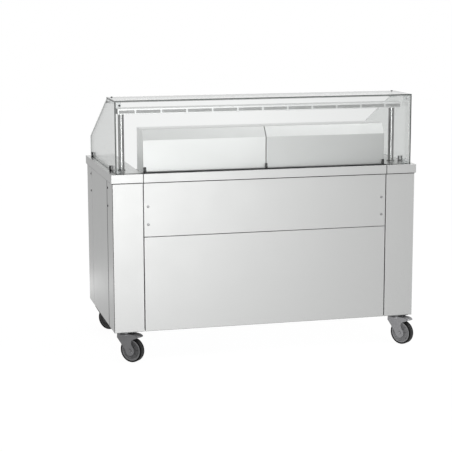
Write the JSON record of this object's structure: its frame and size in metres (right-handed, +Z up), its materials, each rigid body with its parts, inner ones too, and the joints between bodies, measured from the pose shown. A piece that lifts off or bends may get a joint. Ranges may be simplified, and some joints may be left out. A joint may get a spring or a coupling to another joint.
{
  "type": "cooking station",
  "caption": "Mobile stainless front-cooking counter on castors, with a glass screen, suction hoods behind the glass and a sunk appliance bay open to the cook.",
  "frame": {"origin": "on the floor, under the middle of the station's overall box", "axes": "+X to the right as a customer sees it, along the counter; +Y from the customer to the cook; +Z up"},
  "size_m": [1.602, 0.8939, 1.329],
  "materials": {
    "stainless": "fine brushed stainless sheet",
    "hood_steel": "satin stainless sheet",
    "inner_steel": "plain mill-finish stainless",
    "glass": "clear toughened glass with ground edges",
    "clear_plastic": "clear acrylic blocks",
    "black_rubber": "matt black rubber and nylon",
    "tyre": "dark elastic tyre",
    "grey_plastic": "grey nylon",
    "zinc": "bright zinc-plated pressings",
    "fastener": "stainless button screws and zinc bolts",
    "tube": "polished stainless tube",
    "rail": "satin anodised rail",
    "lamp": "opal lamp covers",
    "black_plastic": "black mouldings",
    "red_plastic": "red rotary switch",
    "filter": "bare baffle filter",
    "motor": "dark grey enamel",
    "galvanised": "galvanised sheet",
    "cassette": "grey powder coat"
  },
  "bodies": {
    "cabinet": {"bay_walls": "inner_steel", "carbon_filter": "cassette", "castor_plates": "zinc", "control_bezels": "black_plastic", "control_panel": "stainless", "device_shelf": "inner_steel", "door_pins": "fastener", "fan_motor": "motor", "fan_scroll": "galvanised", "fasteners": "fastener", "floor_panel": "inner_steel", "front_fascia": "stainless", "front_glass": "glass", "front_left_column": "stainless", "front_lower_panel": "stainless", "front_right_column": "stainless", "front_upper_panel": "stainless", "glass_connectors": "clear_plastic", "lamp_strips": "lamp", "left_counter": "stainless", "left_glass": "glass", "left_hood": "hood_steel", "left_side_panel": "stainless", "light_rail": "rail", "posts": "tube", "power_sockets": "black_plastic", "rear_left_column": "stainless", "rear_right_column": "stainless", "right_counter": "stainless", "right_glass": "glass", "right_hood": "hood_steel", "right_side_panel": "stainless", "seals_and_clamps": "black_rubber", "top_glass": "glass"},
    "front_left_castor": {"front_left_fork": "zinc"},
    "front_left_wheel": {"front_left_wheel_disc": "grey_plastic", "front_left_tyre": "tyre"},
    "front_left_brake": {"front_left_brake_pedal": "zinc"},
    "front_right_castor": {"front_right_fork": "zinc"},
    "front_right_wheel": {"front_right_wheel_disc": "grey_plastic", "front_right_tyre": "tyre"},
    "front_right_brake": {"front_right_brake_pedal": "zinc"},
    "rear_left_castor": {"rear_left_fork": "zinc"},
    "rear_left_wheel": {"rear_left_wheel_disc": "grey_plastic", "rear_left_tyre": "tyre"},
    "rear_right_castor": {"rear_right_fork": "zinc"},
    "rear_right_wheel": {"rear_right_wheel_disc": "grey_plastic", "rear_right_tyre": "tyre"},
    "left_door_leaf": {"left_door": "stainless", "left_door_handle": "tube"},
    "left_filter": {"left_grease_filter": "filter"},
    "right_door_leaf": {"right_door": "stainless", "right_door_handle": "tube"},
    "right_filter": {"right_grease_filter": "filter"},
    "left_lid": {"left_socket_lid": "black_plastic"},
    "right_lid": {"right_socket_lid": "black_plastic"},
    "main_switch": {"main_switch_knob": "red_plastic"},
    "fan_control": {"fan_speed_knob": "black_plastic"},
    "light_switch": {"light_rocker": "black_plastic"},
    "fan_rotor": {"fan_impeller": "galvanised"}
  },
  "joints": [
    {"name": "front_left_swivel", "type": "hinge", "parent": "cabinet", "child": "front_left_castor", "pos_m": [-0.729, -0.355, 0.14], "axis": [0, 0, 1], "continuous": true},
    {"name": "front_left_roll", "type": "hinge", "parent": "front_left_castor", "child": "front_left_wheel", "pos_m": [-0.69998, -0.38253, 0.0625], "axis": [0.6884, 0.7254, 0], "continuous": true},
    {"name": "front_left_brake_press", "type": "hinge", "parent": "front_left_castor", "child": "front_left_brake", "pos_m": [-0.69563, -0.38666, 0.138], "axis": [0.6884, 0.7254, 0], "range_deg": [0, 12]},
    {"name": "front_right_swivel", "type": "hinge", "parent": "cabinet", "child": "front_right_castor", "pos_m": [0.729, -0.355, 0.14], "axis": [0, 0, 1], "continuous": true},
    {"name": "front_right_roll", "type": "hinge", "parent": "front_right_castor", "child": "front_right_wheel", "pos_m": [0.75194, -0.38777, 0.0625], "axis": [0.8192, 0.5736, 0], "continuous": true},
    {"name": "front_right_brake_press", "type": "hinge", "parent": "front_right_castor", "child": "front_right_brake", "pos_m": [0.75538, -0.39268, 0.138], "axis": [0.8192, 0.5736, 0], "range_deg": [0, 12]},
    {"name": "rear_left_swivel", "type": "hinge", "parent": "cabinet", "child": "rear_left_castor", "pos_m": [-0.729, 0.355, 0.14], "axis": [0, 0, 1], "continuous": true},
    {"name": "rear_left_roll", "type": "hinge", "parent": "rear_left_castor", "child": "rear_left_wheel", "pos_m": [-0.70072, 0.32672, 0.0625], "axis": [0.7071, 0.7071, 0], "continuous": true},
    {"name": "rear_right_swivel", "type": "hinge", "parent": "cabinet", "child": "rear_right_castor", "pos_m": [0.729, 0.355, 0.14], "axis": [0, 0, 1], "continuous": true},
    {"name": "rear_right_roll", "type": "hinge", "parent": "rear_right_castor", "child": "rear_right_wheel", "pos_m": [0.75137, 0.32184, 0.0625], "axis": [0.829, 0.5592, 0], "continuous": true},
    {"name": "left_door_swing", "type": "hinge", "parent": "cabinet", "child": "left_door_leaf", "pos_m": [-0.623, 0.401, 0.362], "axis": [0, 0, 1], "range_deg": [0, 110]},
    {"name": "left_filter_pull", "type": "slide", "parent": "cabinet", "child": "left_filter", "axis": [0, 1, 0], "range_m": [0, 0.15]},
    {"name": "right_door_swing", "type": "hinge", "parent": "cabinet", "child": "right_door_leaf", "pos_m": [0.623, 0.401, 0.362], "axis": [0, 0, -1], "range_deg": [0, 110]},
    {"name": "right_filter_pull", "type": "slide", "parent": "cabinet", "child": "right_filter", "axis": [0, 1, 0], "range_m": [0, 0.15]},
    {"name": "left_lid_lift", "type": "hinge", "parent": "cabinet", "child": "left_lid", "pos_m": [0.15, 0.4181, 0.6235], "axis": [1, 0, 0], "range_deg": [0, 100], "stiffness_Nm_per_rad": 0.02, "springref_deg": -17.19},
    {"name": "right_lid_lift", "type": "hinge", "parent": "cabinet", "child": "right_lid", "pos_m": [0.33, 0.4181, 0.6235], "axis": [1, 0, 0], "range_deg": [0, 100], "stiffness_Nm_per_rad": 0.02, "springref_deg": -17.19},
    {"name": "main_switch_turn", "type": "hinge", "parent": "cabinet", "child": "main_switch", "pos_m": [-0.47, 0.42, 0.599], "axis": [0, -1, 0], "range_deg": [0, 90]},
    {"name": "fan_speed_turn", "type": "hinge", "parent": "cabinet", "child": "fan_control", "pos_m": [-0.33, 0.42, 0.599], "axis": [0, -1, 0], "range_deg": [0, 270]},
    {"name": "light_switch_tip", "type": "hinge", "parent": "cabinet", "child": "light_switch", "pos_m": [-0.21, 0.406, 0.599], "axis": [-1, 0, 0], "range_deg": [0, 14]},
    {"name": "fan_spin", "type": "hinge", "parent": "cabinet", "child": "fan_rotor", "pos_m": [-0.33, -0.02, 0.3], "axis": [0, 0, 1], "continuous": true}
  ]
}
